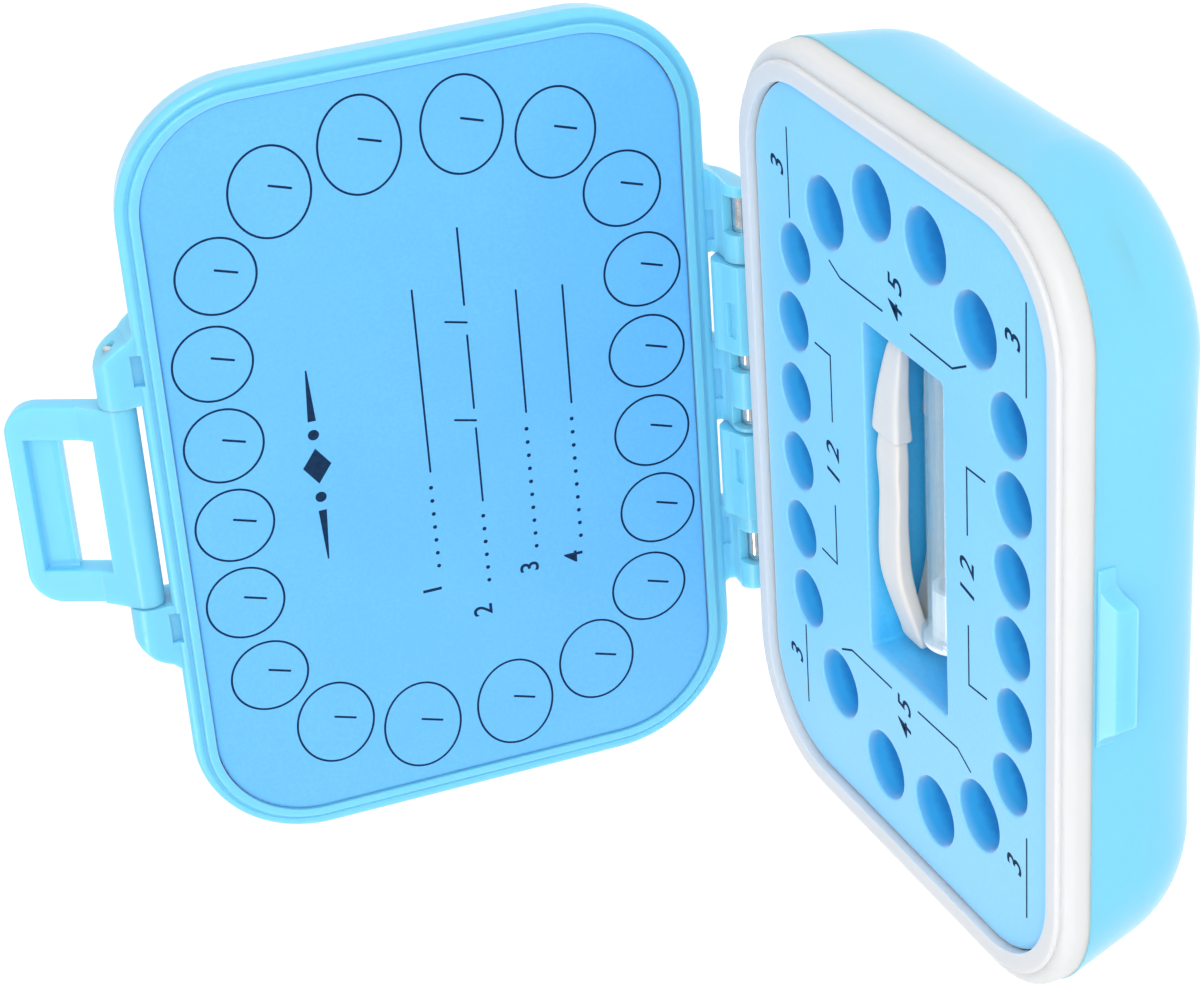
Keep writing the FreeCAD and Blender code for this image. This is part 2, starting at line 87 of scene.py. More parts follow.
def ramp(t, fac, stops):
    r = t.nodes.new("ShaderNodeValToRGB")
    e = r.color_ramp.elements
    while len(e) < len(stops):
        e.new(0.5)
    for i, (p, c) in enumerate(stops):
        e[i].position = p
        e[i].color = (*c, 1.0)
    t.links.new(fac, r.inputs[0])
    return r.outputs[0]


def value_range(t, fac, lo, hi):
    r = t.nodes.new("ShaderNodeMapRange")
    r.inputs["To Min"].default_value = lo
    r.inputs["To Max"].default_value = hi
    t.links.new(fac, r.inputs["Value"])
    return r.outputs["Result"]


def bump(t, b, height, strength, dist):
    n = t.nodes.new("ShaderNodeBump")
    n.inputs["Strength"].default_value = strength
    n.inputs["Distance"].default_value = dist
    t.links.new(height, n.inputs["Height"])
    t.links.new(n.outputs[0], b.inputs["Normal"])


def moulded(name, c0, c1, r0, r1, sss, radius, fine=900.0, depth=0.00003, ior=1.48, sheen=0.0):
    """satin moulded plastic or silicone: slow colour drift, uneven gloss, a faint moulded skin"""
    m, t, b = material(name)
    slow = noise(t, 35.0, 3.0)
    t.links.new(ramp(t, slow.outputs["Fac"], [(0.3, c0), (0.7, c1)]), b.inputs["Base Color"])
    skin = noise(t, fine, 3.0, 0.6)
    t.links.new(value_range(t, skin.outputs["Fac"], r0, r1), b.inputs["Roughness"])
    bump(t, b, skin.outputs["Fac"], 0.25, depth)
    b.inputs["IOR"].default_value = ior
    b.inputs["Sheen Weight"].default_value = sheen
    b.inputs["Sheen Roughness"].default_value = 0.35
    if sss:
        b.inputs["Subsurface Weight"].default_value = sss
        b.inputs["Subsurface Radius"].default_value = radius
        b.inputs["Subsurface Scale"].default_value = 0.001
    return m


def foam(name, c0, c1, c2, cut, deep, z0, z1, sheen=0.8, spec=0.5, slot_painted_light=None):
    """closed-cell foam: fine cells in colour and relief, a satin skin, and cut walls below the skin whose colour
    darkens from the cut colour at the rim to the deep colour lower down as painted shade; when a slot colour is given,
    the walls inside the slot area take that lighter colour as painted light
    """
    m, t, b = material(name)
    cells = noise(t, 1900.0, 4.0, 0.7)
    slow = noise(t, 60.0, 2.0)
    mix = t.nodes.new("ShaderNodeMath")
    mix.operation = "MULTIPLY_ADD"
    t.links.new(slow.outputs["Fac"], mix.inputs[0])
    mix.inputs[1].default_value = 0.35
    t.links.new(cells.outputs["Fac"], mix.inputs[2])
    skin = ramp(t, mix.outputs[0], [(0.45, c0), (0.68, c1), (0.92, c2)])
    place = t.nodes.new("ShaderNodeTexCoord")
    xyz = t.nodes.new("ShaderNodeSeparateXYZ")
    t.links.new(place.outputs["Object"], xyz.inputs[0])
    depth = t.nodes.new("ShaderNodeMapRange")
    depth.inputs["From Min"].default_value = z0 * 0.001
    depth.inputs["From Max"].default_value = z1 * 0.001
    t.links.new(xyz.outputs["Z"], depth.inputs["Value"])
    # painted shade: below the rim the walls fade from the cut colour to the darker deep colour over 1.9 mm, mixed with
    # grain
    painted_shade_fade = t.nodes.new("ShaderNodeMapRange")
    painted_shade_fade.inputs["From Min"].default_value = (z0 - 1.9) * 0.001
    painted_shade_fade.inputs["From Max"].default_value = z0 * 0.001
    t.links.new(xyz.outputs["Z"], painted_shade_fade.inputs["Value"])
    grain = noise(t, 1100.0, 4.0, 0.75)
    both = t.nodes.new("ShaderNodeMath")
    both.operation = "MULTIPLY_ADD"
    t.links.new(grain.outputs["Fac"], both.inputs[0])
    both.inputs[1].default_value = 0.9
    t.links.new(painted_shade_fade.outputs["Result"], both.inputs[2])
    walls = ramp(t, both.outputs[0], [(0.28, deep), (1.0, cut)])
    # painted light: inside the slot area the walls swap the painted shade for a lighter slot colour, standing in for
    # light reaching into the slot
    if slot_painted_light is not None:
        inside = []
        for axis, mid_, half_ in (("X", 0.0, 24.6), ("Y", -1.0, 10.7)):
            off = t.nodes.new("ShaderNodeMath")
            off.operation = "COMPARE"
            t.links.new(xyz.outputs[axis], off.inputs[0])
            off.inputs[1].default_value = mid_ * 0.001
            off.inputs[2].default_value = half_ * 0.001
            inside.append(off.outputs[0])
        area_ = t.nodes.new("ShaderNodeMath")
        area_.operation = "MULTIPLY"
        t.links.new(inside[0], area_.inputs[0])
        t.links.new(inside[1], area_.inputs[1])
        open_ = t.nodes.new("ShaderNodeMix")
        open_.data_type = "RGBA"
        t.links.new(area_.outputs[0], open_.inputs["Factor"])
        t.links.new(walls, open_.inputs[6])
        t.links.new(ramp(t, grain.outputs["Fac"], [(0.3, slot_painted_light), (0.7, cut)]), open_.inputs[7])
        walls = open_.outputs[2]
    two = t.nodes.new("ShaderNodeMix")
    two.data_type = "RGBA"
    t.links.new(depth.outputs["Result"], two.inputs["Factor"])
    t.links.new(walls, two.inputs[6])
    t.links.new(skin, two.inputs[7])
    t.links.new(two.outputs[2], b.inputs["Base Color"])
    t.links.new(value_range(t, cells.outputs["Fac"], 0.36, 0.54), b.inputs["Roughness"])
    bump(t, b, cells.outputs["Fac"], 0.22, 0.00006)
    b.inputs["IOR"].default_value = 1.5
    b.inputs["Sheen Weight"].default_value = sheen
    b.inputs["Specular IOR Level"].default_value = spec
    b.inputs["Sheen Roughness"].default_value = 0.4
    return m


def metal(name, c0, c1):
    m, t, b = material(name)
    n = noise(t, 600.0, 3.0)
    t.links.new(ramp(t, n.outputs["Fac"], [(0.35, c0), (0.65, c1)]), b.inputs["Base Color"])
    t.links.new(value_range(t, n.outputs["Fac"], 0.07, 0.15), b.inputs["Roughness"])
    b.inputs["Metallic"].default_value = 1.0
    return m


def clear(name):
    m, t, b = material(name)
    n = noise(t, 120.0, 2.0)
    t.links.new(ramp(t, n.outputs["Fac"], [(0.3, (0.690, 0.920, 0.995)), (0.7, (0.720, 0.935, 1.000))]), b.inputs["Base Color"])
    t.links.new(value_range(t, n.outputs["Fac"], 0.02, 0.06), b.inputs["Roughness"])
    b.inputs["Transmission Weight"].default_value = 0.60
    b.inputs["IOR"].default_value = 1.40
    b.inputs["Alpha"].default_value = 0.34
    b.inputs["Coat Weight"].default_value = 1.0
    b.inputs["Coat Roughness"].default_value = 0.03
    return m


def ink(name):
    m, t, b = material(name)
    n = noise(t, 1500.0, 3.0)
    t.links.new(ramp(t, n.outputs["Fac"], [(0.35, (0.002, 0.020, 0.060)), (0.75, (0.006, 0.034, 0.090))]), b.inputs["Base Color"])
    t.links.new(value_range(t, n.outputs["Fac"], 0.5, 0.7), b.inputs["Roughness"])
    b.inputs["Specular IOR Level"].default_value = 0.12
    return m


BLUE = moulded("blue_plastic", (0.158, 0.552, 0.785), (0.174, 0.577, 0.805), 0.26, 0.36, 0.6, (2.2, 3.5, 3.5), sheen=0.25)
SEAL = moulded("white_silicone", (0.640, 0.652, 0.668), (0.662, 0.672, 0.686), 0.38, 0.50, 0.6, (3.0, 3.0, 3.6), ior=1.42)
IVORY = moulded("ivory_plastic", (0.728, 0.690, 0.645), (0.750, 0.712, 0.665), 0.30, 0.42, 0.4, (1.5, 1.5, 1.6))
TIP = moulded("tip_silicone", (0.680, 0.668, 0.650), (0.702, 0.690, 0.670), 0.40, 0.52, 0.5, (2.0, 2.0, 2.1), ior=1.42)
MILKY = moulded("milky_plastic", (0.955, 0.955, 0.990), (0.970, 0.968, 0.998), 0.30, 0.42, 0.5, (2.0, 2.0, 2.4))
FOAM = foam("blue_foam", (0.098, 0.424, 0.860), (0.110, 0.450, 0.890), (0.126, 0.484, 0.915), (0.050, 0.560, 0.970), (0.050, 0.560, 0.970), 20.4, 22.1)
# painted light: the insert foam is a lighter copy of the blue foam, standing in for the extra light on its top face;
# its walls carry painted shade with depth and a painted-light slot colour
INSERT_FOAM_LIT = foam("insert_foam_painted_light", (0.157, 0.552, 0.900), (0.174, 0.580, 0.925), (0.194, 0.610, 0.945), (0.038, 0.490, 0.900), (0.013, 0.315, 0.705), 20.7, 22.05, sheen=0.7, spec=0.9, slot_painted_light=(0.055, 0.570, 1.000))
# painted light: the backing foam is a brightened copy of the blue foam, so the slot floor reads bright in spite of the
# shade there
BACKING_FOAM_LIT = foam("backing_foam_painted_light", (0.080, 0.620, 0.990), (0.090, 0.650, 0.995), (0.105, 0.675, 1.000), (0.085, 0.630, 0.995), (0.080, 0.615, 0.990), 5.0, 11.0)
STEEL = metal("pin_steel", (0.50, 0.51, 0.53), (0.62, 0.63, 0.65))
CLEAR = clear("clear_plastic")
INK = ink("ink")

LOOKS = {"base_shell": BLUE, "lid_shell": BLUE, "latch_flap": BLUE, "seal_ring": SEAL, "foam_tray": FOAM, "foam_backing": FOAM, "record_pad": FOAM,
         "hinge_pin_left": STEEL, "hinge_pin_right": STEEL, "latch_pin": STEEL, "tweezer_arm_upper": IVORY, "tweezer_arm_lower": IVORY,
         "tip_sleeve_upper": TIP, "tip_sleeve_lower": TIP, "vial_tube": CLEAR, "vial_cap": MILKY}
for n, m in LOOKS.items():
    ob = N[n]
    ob.data.materials.clear()
    ob.data.materials.append(m)

# ------------------------------------------------------------------ places on the lid's face and on the insert's face (mm)
LID_C = Vector((0.0, 48.976, 62.848))
LID_U = Vector((0.0, 0.104528, 0.994522))
LID_N = Vector((0.0, -0.994522, 0.104528))
FOAM_Z = 22.3


def on_lid(x, s, h):
    return (LID_C + Vector((x, 0, 0)) + LID_U * s + LID_N * h) * MM


def on_foam(x, y, h):
    return Vector((x, y, FOAM_Z + h)) * MM


# ------------------------------------------------------------------ foam pieces: cut sheets with soft rims, rough cut walls and a slightly uneven edge
class Loop:
    """a closed cut line of a foam sheet: a rounded rectangle or a circle"""

    def __init__(self, cx, cy, a, b, r, outer, arc=16, step=1.5):
        self.c, self.a, self.b, self.r, self.outer, self.arc, self.step = (cx, cy), a, b, r, outer, arc, step

    def dist(self, x, y):
        """distance into the sheet from the cut line"""
        qx, qy = abs(x - self.c[0]) - (self.a - self.r), abs(y - self.c[1]) - (self.b - self.r)
        d = math.hypot(max(qx, 0.0), max(qy, 0.0)) + min(max(qx, qy), 0.0) - self.r
        return -d if self.outer else d

    def points(self, inset):
        """points of the line moved by inset into the sheet, and their directions into the sheet"""
        g = -inset if self.outer else inset
        a, b, r = self.a + g, self.b + g, max(self.r + g, 0.02)
        out = []
        corners = [(a - r, b - r, 0.0), (-(a - r), b - r, 0.5), (-(a - r), -(b - r), 1.0), (a - r, -(b - r), 1.5)]
        sg = -1.0 if self.outer else 1.0
        for k in range(4):
            x0, y0, t0 = corners[k]
            for i in range(self.arc + 1):
                if i == self.arc and self.a - self.r < 1e-6 and self.b - self.r < 1e-6:
                    continue
                t = math.pi * (t0 + 0.5 * i / self.arc)
                n = (math.cos(t), math.sin(t))
                out.append((self.c[0] + x0 + r * n[0], self.c[1] + y0 + r * n[1], sg * n[0], sg * n[1]))
            x1, y1, t1 = corners[(k + 1) % 4]
            e = math.pi * (t0 + 0.5)
            n = (math.cos(e), math.sin(e))
            p, q = (x0 + r * n[0], y0 + r * n[1]), (x1 + r * n[0], y1 + r * n[1])
            m = int(math.hypot(q[0] - p[0], q[1] - p[1]) / self.step)
            for i in range(1, m):
                f = i / m
                out.append((self.c[0] + p[0] + (q[0] - p[0]) * f, self.c[1] + p[1] + (q[1] - p[1]) * f, sg * n[0], sg * n[1]))
        return out


def foam_sheet(name, place, loops, depth, grid, rim, body, node, levels=9, rough=0.06, uneven=0.0, back_round=0.0, look_=FOAM):
    """closed foam sheet: its face at height 0 of place, cut along loops, depth deep"""
    insets = [0.0, 0.07 * rim, 0.25 * rim, 0.55 * rim, rim, rim + 0.35]
    pts, edges, first = [], [], []
    for lp in loops:
        for d in insets:
            ring = lp.points(d)
            k = len(pts)
            if d == 0.0:
                first.append((k, len(ring)))
            pts += [Vector((q[0], q[1])) for q in ring]
            edges += [(k + i, k + (i + 1) % len(ring)) for i in range(len(ring))]
    far = insets[-1] + 0.35 * grid
    a, b = loops[0].a, loops[0].b
    ny = int(2 * b / (grid * 0.866)) + 1
    for j in range(-ny, ny + 1):
        for i in range(-int(a / grid) - 2, int(a / grid) + 3):
            x, y = (i + 0.5 * (j % 2)) * grid, j * grid * 0.866
            if min(lp.dist(x, y) for lp in loops) > far:
                pts.append(Vector((x, y)))
    vo, eo, fo, ov, oe, of_ = delaunay_2d_cdt(pts, edges, [], 0, 1e-5)
    where = {}
    for i, src in enumerate(ov):
        for k in src:
            where[k] = i
    tris = []
    for f in fo:
        cx, cy = sum(vo[i].x for i in f) / 3, sum(vo[i].y for i in f) / 3
        if min(lp.dist(cx, cy) for lp in loops) > 0.0:
            tris.append(tuple(f))
    n = len(vo)

    def edge_shift(x, y):
        return uneven * (0.5 + 0.5 * wobble(Vector((x * 0.21, y * 0.21, 4.7))) + 0.35 * wobble(Vector((x * 0.9, y * 0.9, 1.3))))

    def moved(x, y, h):
        """pull the outer edge in unevenly"""
        d = loops[0].dist(x, y)
        if uneven and d < 1.5:
            e = 0.05
            gx = (loops[0].dist(x + e, y) - loops[0].dist(x - e, y)) / (2 * e)
            gy = (loops[0].dist(x, y + e) - loops[0].dist(x, y - e)) / (2 * e)
            k = max(0.0, edge_shift(x, y)) * (1.0 - d / 1.5)
            x, y = x + gx * k, y + gy * k
        return place(x, y, h)

    verts = []
    for q in vo:
        d = min(lp.dist(q.x, q.y) for lp in loops)
        h = 0.0 if d >= rim else -(rim - math.sqrt(max(0.0, rim * rim - (rim - max(d, 0.0)) ** 2)))
        verts.append(moved(q.x, q.y, h))
    for q in vo:
        d = loops[0].dist(q.x, q.y)
        h = -depth
        if back_round and d < back_round:
            h += back_round - math.sqrt(max(0.0, back_round * back_round - (back_round - max(d, 0.0)) ** 2))
        verts.append(moved(q.x, q.y, h))
    faces = list(tris) + [(n + f[2], n + f[1], n + f[0]) for f in tris]
    for lp, (k, m) in zip(loops, first):
        ring = lp.points(0.0)
        prev = [where[k + i] for i in range(m)]
        last = [n + where[k + i] for i in range(m)]
        low = -depth + (back_round if lp.outer else 0.0)
        for lv in range(1, levels):
            h = -rim + (low + rim) * lv / levels
            cur = []
            for x, y, nx, ny_ in ring:
                w = rough * (0.5 + 0.5 * wobble(Vector((x * 1.4, y * 1.4, h * 0.9)))) + 0.5 * rough * (0.5 + 0.5 * wobble(Vector((x * 3.7, y * 3.7, h * 3.1))))
                w *= min(1.0, lv / 2.0, (levels - lv) / 2.0)
                cur.append(len(verts))
                verts.append(moved(x + nx * w, y + ny_ * w, h))
            for i in range(m):
                j = (i + 1) % m
                faces.append((prev[i], prev[j], cur[j], cur[i]))
            prev = cur
        for i in range(m):
            j = (i + 1) % m
            faces.append((prev[i], prev[j], last[j], last[i]))
    me = bpy.data.meshes.new(name)
    me.from_pydata([tuple(v) for v in verts], [], faces)
    bm = bmesh.new()
    bm.from_mesh(me)
    bmesh.ops.remove_doubles(bm, verts=bm.verts, dist=1e-7)
    loose = [v for v in bm.verts if not v.link_faces]
    bmesh.ops.delete(bm, geom=loose, context="VERTS")
    bmesh.ops.recalc_face_normals(bm, faces=bm.faces)
    for f in bm.faces:
        f.smooth = True
    bm.to_mesh(me)
    bm.free()
    me.materials.append(look_)
    o = bpy.data.objects.new(name, me)
    bpy.context.scene.collection.objects.link(o)
    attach(o, body)
    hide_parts(node)
    return o


HOLES = [(4.95, -25.8), (14.9, -26.2), (24.8, -25.2), (5.1, 26.9), (15.4, 26.8), (25.5, 25.6)]
MOLARS = [(33.9, -18.0), (40.0, -7.0), (40.4, 5.6), (34.4, 17.4)]
cuts = [Loop(0, 0, 49.7, 35.25, 13.9, True)]
for sx in (1, -1):
    cuts += [Loop(sx * x, y, 4.0, 4.0, 4.0, False, arc=18) for x, y in HOLES]
    cuts += [Loop(sx * x, y, 4.75, 4.75, 4.75, False, arc=20) for x, y in MOLARS]
cuts.append(Loop(0, -1.0, 23.5, 9.6, 0.6, False, arc=5, step=0.8))
foam_sheet("foam_insert", on_foam, cuts, 10.5, 1.7, 0.30, "base", "foam_tray", levels=12, rough=0.15, uneven=0.06, look_=INSERT_FOAM_LIT)
# the backing wears the brightened painted-light copy of the blue foam
foam_sheet("foam_floor", lambda x, y, h: on_foam(x, y, h - 10.5), [Loop(0, 0, 49.0, 33.6, 22.0, True)], 10.0, 2.2, 0.3, "base", "foam_backing", levels=3, rough=0.05, back_round=8.6, look_=BACKING_FOAM_LIT)
foam_sheet("lid_pad", on_lid, [Loop(0, 0, 52.3, 35.2, 13.9, True, arc=24)], 5.85, 2.0, 0.35, "lid", "record_pad", levels=5, rough=0.05, uneven=0.08, back_round=2.1)

# ------------------------------------------------------------------ tweezers: softly rounded arms and tip sleeves, swept through smooth sections
def curve(table, x):
    """smooth value at x from rows (x, v)"""
    for i in range(len(table) - 1):
        if x <= table[i + 1][0] or i == len(table) - 2:
            break
    (x0, v0), (x1, v1) = table[i], table[i + 1]
    m = []
    for k in (i, i + 1):
        lo, hi = table[max(k - 1, 0)], table[min(k + 1, len(table) - 1)]
        m.append((hi[1] - lo[1]) / max(hi[0] - lo[0], 1e-6))
    f = min(1.0, max(0.0, (x - x0) / (x1 - x0)))
    d = x1 - x0
    return v0 * (2 * f ** 3 - 3 * f * f + 1) + m[0] * d * (f ** 3 - 2 * f * f + f) + v1 * (3 * f * f - 2 * f ** 3) + m[1] * d * (f ** 3 - f * f)


def swept(name, top, low, half, x0, x1, ends, body, node, look_, flip, cuts_=90, around=56, power=7.0):
    """closed bar along X: top and low give its faces, half its half width, with rounded edges and ends; flip mirrors it in height"""
    v, f = [], []
    for i in range(cuts_ + 1):
        u = 0.5 - 0.5 * math.cos(math.pi * i / cuts_)
        x = x0 + (x1 - x0) * (0.55 * u + 0.45 * i / cuts_)
        e = min((x - x0) / ends[0] if ends[0] else 1.0, (x1 - x) / ends[1] if ends[1] else 1.0, 1.0)
        k = math.sqrt(max(0.0, 1.0 - (1.0 - e) ** 2)) if i not in (0, cuts_) else 0.0
        k = 0.55 + 0.45 * k
        a, b_ = curve(top, x), curve(low, x)
        c, hz, hy = (a + b_) / 2, (a - b_) / 2 * k, curve(half, x) * k
        for j in range(around):
            w = 2 * math.pi * j / around
            cs, sn = math.cos(w), math.sin(w)
            p, q = max(2.0, power), max(2.0, power)
            r = (abs(cs) ** p + abs(sn) ** q) ** (-1.0 / p)
            y, z = 5.1 + hy * cs * r, c + hz * sn * r
            v.append(Vector((x, y, 2 * 16.8 - z if flip else z)) * MM)
    for i in range(cuts_):
        for j in range(around):
            n = (j + 1) % around
            f.append((i * around + j, i * around + n, (i + 1) * around + n, (i + 1) * around + j))
    f.append(tuple(range(around))[::-1])
    f.append(tuple(cuts_ * around + j for j in range(around)))
    me = bpy.data.meshes.new(name)
    me.from_pydata([tuple(q) for q in v], [], f)
    bm = bmesh.new()
    bm.from_mesh(me)
    bmesh.ops.recalc_face_normals(bm, faces=bm.faces)
    for q in bm.faces:
        q.smooth = True
    bm.to_mesh(me)
    bm.free()
    me.materials.append(look_)
    o = bpy.data.objects.new(name, me)
    bpy.context.scene.collection.objects.link(o)
    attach(o, body)
    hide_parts(node)
    return o


ARM_TOP = [(-22.6, 18.15), (-20.6, 18.6), (-17.2, 19.7), (-12.6, 21.0), (-9.5, 21.4), (-5.0, 21.42), (0.0, 21.2), (5.0, 21.4), (8.4, 21.1), (14.5, 20.6), (21.1, 19.25)]
ARM_LOW = [(-22.6, 16.85), (-20.3, 16.95), (-16.4, 17.9), (-12.2, 18.9), (-9.0, 19.35), (-3.0, 19.5), (3.0, 19.4), (8.0, 19.45), (14.5, 19.5), (21.1, 18.65)]
ARM_HALF = [(-22.6, 2.62), (-15.0, 2.69), (-9.0, 2.69), (-3.0, 2.5), (2.0, 2.55), (6.5, 2.69), (10.0, 2.2), (21.1, 0.85)]
TIP_TOP = [(8.4, 21.74), (11.0, 21.6), (14.5, 21.22), (18.0, 20.6), (20.4, 20.08), (22.15, 19.5)]
TIP_LOW = [(8.4, 19.05), (14.5, 19.1), (20.4, 18.55), (22.15, 18.4)]
TIP_HALF = [(8.4, 3.18), (9.6, 3.14), (15.0, 2.45), (20.0, 1.75), (22.15, 1.1)]
for which, flip, body in (("upper", False, "tweezers_upper"), ("lower", True, "tweezers")):
    swept("arm_" + which, ARM_TOP, ARM_LOW, ARM_HALF, -22.6, 21.1, (1.0, 1.0), body, "tweezer_arm_" + which, IVORY, flip)
    swept("tip_" + which, TIP_TOP, TIP_LOW, TIP_HALF, 8.4, 22.15, (0.7, 1.6), body, "tip_sleeve_" + which, TIP, flip, cuts_=50)

# ------------------------------------------------------------------ printed lines, as thin ink on the foam faces
INK_LO, INK_HI = -0.03, 0.022


class Ink:
    """collects flat printed shapes on one face and makes them one thin closed mesh"""

    def __init__(self, place):
        self.place, self.v, self.f = place, [], []

    def add(self, pts, faces):
        k = len(self.v)
        self.v += pts
        self.f += [tuple(i + k for i in f) for f in faces]

    def strip(self, left, right_, closed):
        """a band between two outlines of equal length"""
        n = len(left)
        pts = []
        for h in (INK_LO, INK_HI):
            for side in (left, right_):
                pts += [self.place(x, y, h) for x, y in side]
        lo_l, lo_r, hi_l, hi_r = 0, n, 2 * n, 3 * n
        faces = []
        for i in range(n if closed else n - 1):
            j = (i + 1) % n
            faces.append((hi_l + i, hi_r + i, hi_r + j, hi_l + j))
            faces.append((lo_l + i, lo_l + j, lo_r + j, lo_r + i))
            faces.append((lo_l + i, hi_l + i, hi_l + j, lo_l + j))
            faces.append((lo_r + i, lo_r + j, hi_r + j, hi_r + i))
        if not closed:
            faces.append((lo_l, lo_r, hi_r, hi_l))
            e = n - 1
            faces.append((lo_l + e, hi_l + e, hi_r + e, lo_r + e))
        self.add(pts, faces)

    def ring(self, x, y, a, b, w, n=96):
        out, inn = [], []
        for i in range(n):
            c, s = math.cos(2 * math.pi * i / n), math.sin(2 * math.pi * i / n)
            out.append((x + (a + w / 2) * c, y + (b + w / 2) * s))
            inn.append((x + (a - w / 2) * c, y + (b - w / 2) * s))
        self.strip(out, inn, True)

    def line(self, pts, w):
        """a pen line through pts, mitred at its corners, with blunt rounded ends"""
        p = [Vector(q).to_2d() if len(q) > 2 else Vector(q) for q in pts]
        d = [(p[i + 1] - p[i]).normalized() for i in range(len(p) - 1)]
        left, rgt = [], []

        def put(c, nx, ny, k):
            left.append((c.x + nx * k, c.y + ny * k))
            rgt.append((c.x - nx * k, c.y - ny * k))

        for ang in (80, 55, 30):
            a = math.radians(ang)
            c = p[0] - d[0] * (w / 2) * math.sin(a)
            put(c, -d[0].y, d[0].x, w / 2 * math.cos(a))
        put(p[0], -d[0].y, d[0].x, w / 2)
        for i in range(1, len(p) - 1):
            n0, n1 = Vector((-d[i - 1].y, d[i - 1].x)), Vector((-d[i].y, d[i].x))
            m = (n0 + n1).normalized()
            put(p[i], m.x, m.y, w / 2 / max(0.4, m.dot(n1)))
        put(p[-1], -d[-1].y, d[-1].x, w / 2)
        for ang in (30, 55, 80):
            a = math.radians(ang)
            c = p[-1] + d[-1] * (w / 2) * math.sin(a)
            put(c, -d[-1].y, d[-1].x, w / 2 * math.cos(a))
        self.strip(left, rgt, False)

    def shape(self, pts):
        """a filled convex outline"""
        n = len(pts)
        v = [self.place(x, y, INK_LO) for x, y in pts] + [self.place(x, y, INK_HI) for x, y in pts]
        f = [tuple(range(n))[::-1], tuple(range(n, 2 * n))]
        f += [(i, (i + 1) % n, n + (i + 1) % n, n + i) for i in range(n)]
        self.add(v, f)

    def dot(self, x, y, r, n=20):
        self.shape([(x + r * math.cos(2 * math.pi * i / n), y + r * math.sin(2 * math.pi * i / n)) for i in range(n)])

    def digits(self, text, x, y, size, shear=0.0, offset=0.0, spacing=1.0):
        """plain numerals centred on x, y, upright along the face's second axis"""
        c = bpy.data.curves.new("digits", "FONT")
        c.body, c.size, c.shear = text, size, shear
        c.align_x, c.align_y = "CENTER", "CENTER"
        c.extrude, c.offset, c.space_character = (INK_HI - INK_LO) / 2, offset, spacing
        c.resolution_u = 6
        o = bpy.data.objects.new("digits", c)
        bpy.context.scene.collection.objects.link(o)
        bpy.context.view_layer.update()
        me = bpy.data.meshes.new_from_object(o.evaluated_get(bpy.context.evaluated_depsgraph_get()))
        mid = (INK_HI + INK_LO) / 2
        self.add([self.place(x + q.co.x, y + q.co.y, mid + q.co.z) for q in me.vertices], [tuple(f.vertices) for f in me.polygons])
        bpy.data.objects.remove(o)
        bpy.data.curves.remove(c)
        bpy.data.meshes.remove(me)

    def build(self, name, body):
        me = bpy.data.meshes.new(name)
        me.from_pydata([tuple(q) for q in self.v], [], self.f)
        bm = bmesh.new()
        bm.from_mesh(me)
        bmesh.ops.remove_doubles(bm, verts=bm.verts, dist=1e-8)
        bmesh.ops.recalc_face_normals(bm, faces=bm.faces)
        bm.to_mesh(me)
        bm.free()
        me.materials.append(INK)
        o = bpy.data.objects.new(name, me)
        bpy.context.scene.collection.objects.link(o)
        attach(o, body)
        return o


lid_ink = Ink(on_lid)
SMALL = [(6.0, -28.8), (18.0, -28.9), (30.0, -26.9), (5.9, 28.7), (17.7, 28.7), (29.6, 26.8)]
LARGE = [(39.4, 18.75, 6.2, 5.3), (39.6, -18.6, 6.2, 5.3), (43.2, 6.8, 6.67, 5.37), (43.2, -6.5, 6.67, 5.37)]
for sx in (1, -1):
    for x, s in SMALL:
        lid_ink.ring(sx * x, s, 5.21, 5.21, 0.29)
        lid_ink.line([(sx * x + 0.85, s), (sx * x - 0.05, s - 2.75)], 0.32)
    for x, s, a, b in LARGE:
        lid_ink.ring(sx * x, s, a, b, 0.29)
        lid_ink.line([(sx * x + 0.85, s), (sx * x - 0.05, s - 2.75)], 0.32)
for pts in ([(22.0, 2.1), (-4.6, 2.1)], [(29.3, -4.6), (18.4, -4.6)], [(14.0, -4.6), (3.3, -4.6)], [(0.3, -4.6), (-10.7, -4.6)],
            [(18.9, -11.6), (1.0, -11.6)], [(18.2, -17.9), (0.9, -17.9)]):
    lid_ink.line(pts, 0.27)
for x in (16.1, 1.7):
    lid_ink.line([(x - 0.25, -4.7), (x + 0.45, -1.9)], 0.30)
# numbered rows with dotted leaders up to the ruled lines
for num, x0, x1, s in (("1", -22.5, -7.0, 2.1), ("2", -27.5, -13.0, -4.6), ("3", -22.5, -1.5, -11.6), ("4", -22.5, -1.5, -17.9)):
    lid_ink.digits(num, x0, s + 1.25, 3.7, offset=0.03)
    k = int((x1 - x0 - 3.0) / 2.0)
    for i in range(k + 1):
        lid_ink.dot(x1 - 2.0 * i, s + 0.15, 0.28)
# a plain divider ornament over the rows
lid_ink.shape([(2.6, 17.0), (0.0, 18.9), (-2.6, 17.0), (0.0, 15.1)])
for sg in (1, -1):
    lid_ink.dot(sg * 4.6, 17.0, 0.75)
    lid_ink.shape([(sg * 6.6, 17.55), (sg * 14.0, 17.1), (sg * 14.0, 16.9), (sg * 6.6, 16.45)])
lid_ink.build("lid_print", "lid")

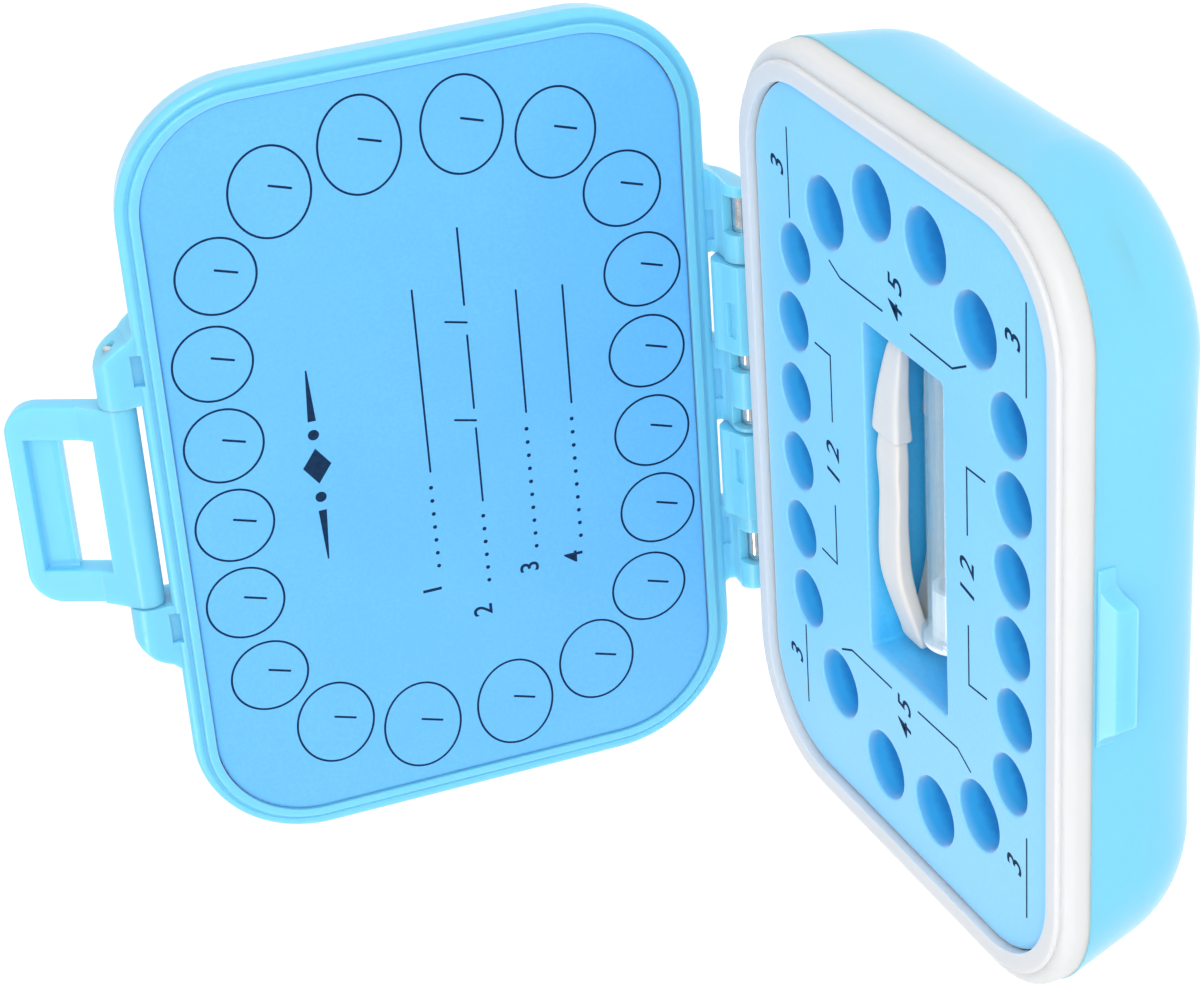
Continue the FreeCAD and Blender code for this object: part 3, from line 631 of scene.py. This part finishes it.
foam_ink = Ink(on_foam)
for sx in (1, -1):
    foam_ink.line([(sx * 30.2, 26.5), (sx * 42.4, 26.5)], 0.28)
    foam_ink.line([(sx * 30.4, -29.2), (sx * 42.2, -29.2)], 0.28)
    foam_ink.digits("3", sx * 36.2, 29.2, 4.6, shear=0.2, offset=0.03)
    foam_ink.digits("3", sx * 36.2, -26.5, 4.6, shear=0.2, offset=0.03)
    foam_ink.line([(sx * 28.4, 16.4), (sx * 27.1, 13.7), (sx * 27.1, 3.4)], 0.28)
    foam_ink.line([(sx * 28.4, -16.1), (sx * 26.7, -13.0), (sx * 26.9, -3.4)], 0.28)
    foam_ink.digits("4 5", sx * 30.0, 0.0, 4.6, shear=0.2, offset=0.03)
for y, leg, gap in ((17.0, 20.9, 6.2), (-16.0, -20.1, 6.4)):
    foam_ink.line([(15.0, leg), (14.9, y), (gap - 0.7, y)], 0.28)
    foam_ink.line([(-15.3, leg), (-15.6, y), (-gap - 0.7, y)], 0.28)
    foam_ink.digits("1 2", -0.8, y, 4.6, shear=0.2, offset=0.03)
foam_ink.build("foam_print", "base")

# ------------------------------------------------------------------ pale floor and soft studio light
me = bpy.data.meshes.new("floor")
me.from_pydata([(-4, -4, -0.0002), (4, -4, -0.0002), (4, 4, -0.0002), (-4, 4, -0.0002)], [], [(0, 1, 2, 3)])
fm, ft, fb = material("floor_white")
fn = noise(ft, 3.0)
ft.links.new(ramp(ft, fn.outputs["Fac"], [(0.3, (0.19, 0.19, 0.19)), (0.7, (0.21, 0.21, 0.21))]), fb.inputs["Base Color"])
fb.inputs["Roughness"].default_value = 0.9
fb.inputs["Specular IOR Level"].default_value = 0.1
fb.inputs["Emission Color"].default_value = (1, 1, 1, 1)
fb.inputs["Emission Strength"].default_value = 0.92
me.materials.append(fm)
floor = bpy.data.objects.new("floor", me)
bpy.context.scene.collection.objects.link(floor)

world = bpy.data.worlds.new("world")
bpy.context.scene.world = world
world.use_nodes = True
bg = world.node_tree.nodes["Background"]
bg.inputs["Color"].default_value = (1, 1, 1, 1)
tc = world.node_tree.nodes.new("ShaderNodeTexCoord")
sep = world.node_tree.nodes.new("ShaderNodeSeparateXYZ")
fade = world.node_tree.nodes.new("ShaderNodeMapRange")
fade.inputs["To Min"].default_value = 0.94
fade.inputs["To Max"].default_value = 0.72
world.node_tree.links.new(tc.outputs["Generated"], sep.inputs[0])
world.node_tree.links.new(sep.outputs["Z"], fade.inputs["Value"])
world.node_tree.links.new(fade.outputs["Result"], bg.inputs["Strength"])


def area(name, loc, target, size, power):
    l = bpy.data.lights.new(name, "AREA")
    l.shape = "DISK"
    l.size = size
    l.energy = power
    o = bpy.data.objects.new(name, l)
    d = (Vector(target) - Vector(loc)).normalized()
    o.matrix_world = Matrix.Translation(Vector(loc)) @ d.to_track_quat("-Z", "Y").to_matrix().to_4x4()
    bpy.context.scene.collection.objects.link(o)
    return o


area("key", (0.72, -0.88, 1.35), (0, 0.02, 0.04), 1.2, 3.8)
area("top", (0.0, 0.1, 1.6), (0, 0.0, 0.02), 1.2, 2.6)
area("streak", (-0.80, -0.45, 1.10), (0, 0.0, 0.02), 0.35, 3.2)
area("fill", (0.60, -0.95, 0.52), (0, 0.02, 0.03), 0.4, 4.4)
